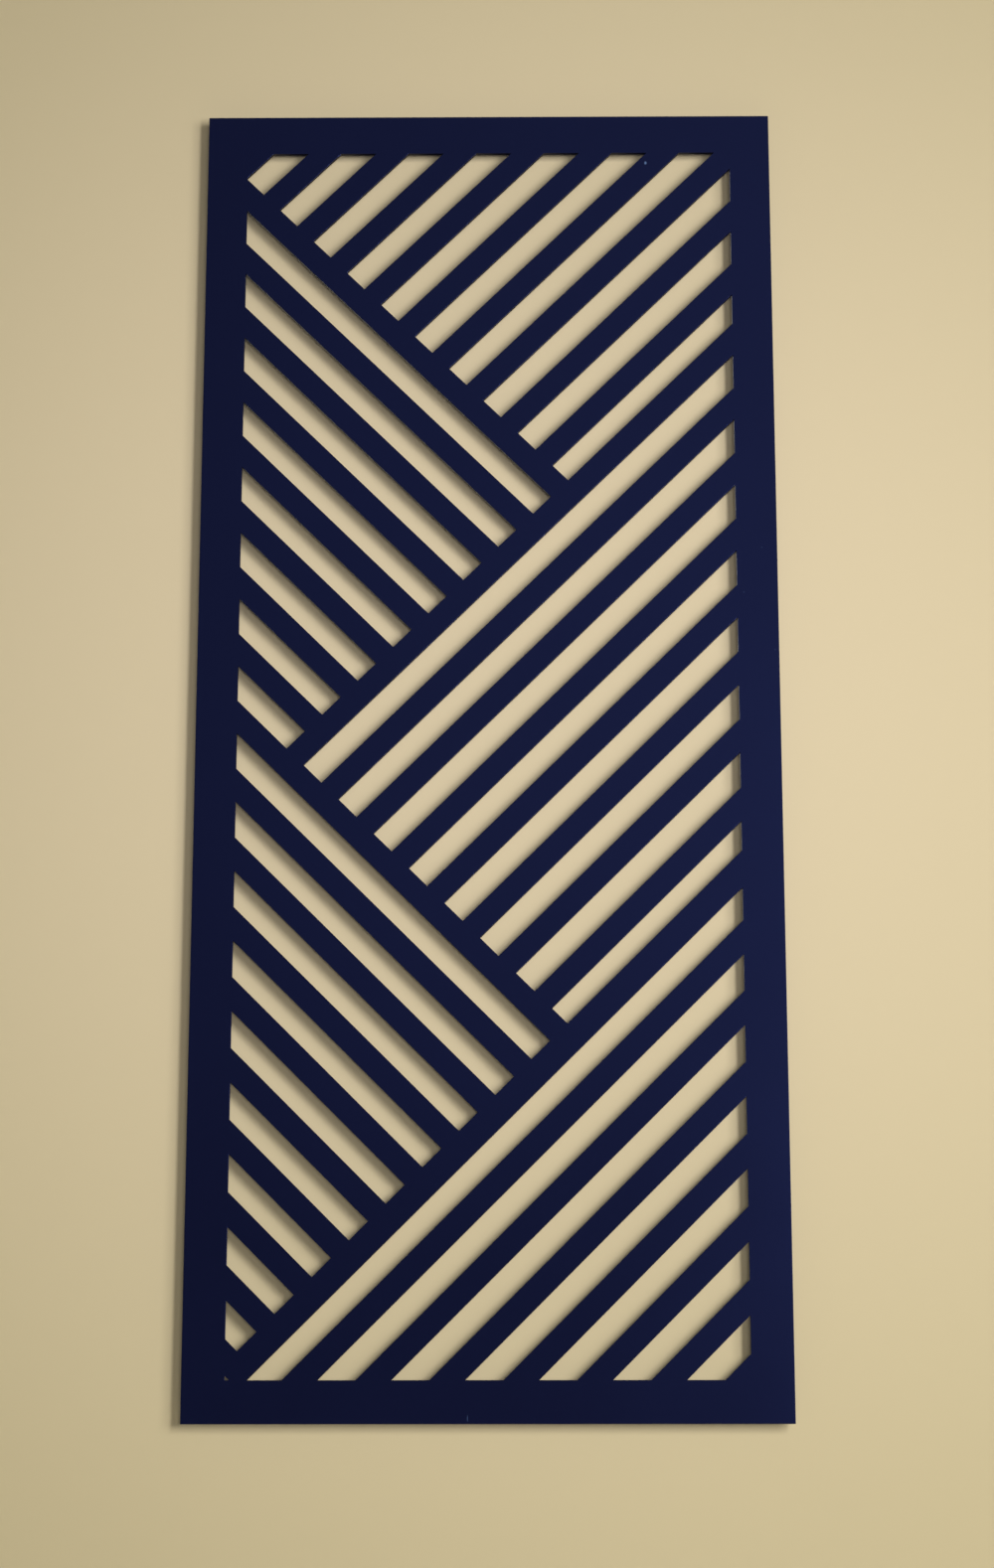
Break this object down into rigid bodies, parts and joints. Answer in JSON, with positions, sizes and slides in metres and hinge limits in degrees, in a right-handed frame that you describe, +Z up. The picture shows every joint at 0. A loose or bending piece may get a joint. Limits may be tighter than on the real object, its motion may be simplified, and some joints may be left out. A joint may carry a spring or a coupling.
{
  "type": "laser cut metal wall screen",
  "caption": "Flat powder-coated metal screen cut with zigzag fields of slanted slots, held off the wall on hidden weld studs and spacers.",
  "frame": {"origin": "middle of the four corner studs, on the face of the wall", "axes": "+X to the right and +Z up as the screen is looked at, +Y into the wall; the cut face looks along -Y"},
  "size_m": [0.39, 0.038, 0.9],
  "materials": {
    "navy_powder_coat": "satin powder coat, dark navy",
    "zinc_plated_steel": "bright zinc plating",
    "black_nylon": "matt turned nylon"
  },
  "bodies": {
    "root": {"screen_panel": "navy_powder_coat", "weld_stud_top_left": "zinc_plated_steel", "weld_stud_top_right": "zinc_plated_steel", "weld_stud_middle_left": "zinc_plated_steel", "weld_stud_middle_right": "zinc_plated_steel", "weld_stud_bottom_left": "zinc_plated_steel", "weld_stud_bottom_right": "zinc_plated_steel", "spacer_top_left": "black_nylon", "spacer_top_right": "black_nylon", "spacer_middle_left": "black_nylon", "spacer_middle_right": "black_nylon", "spacer_bottom_left": "black_nylon", "spacer_bottom_right": "black_nylon"}
  },
  "joints": []
}
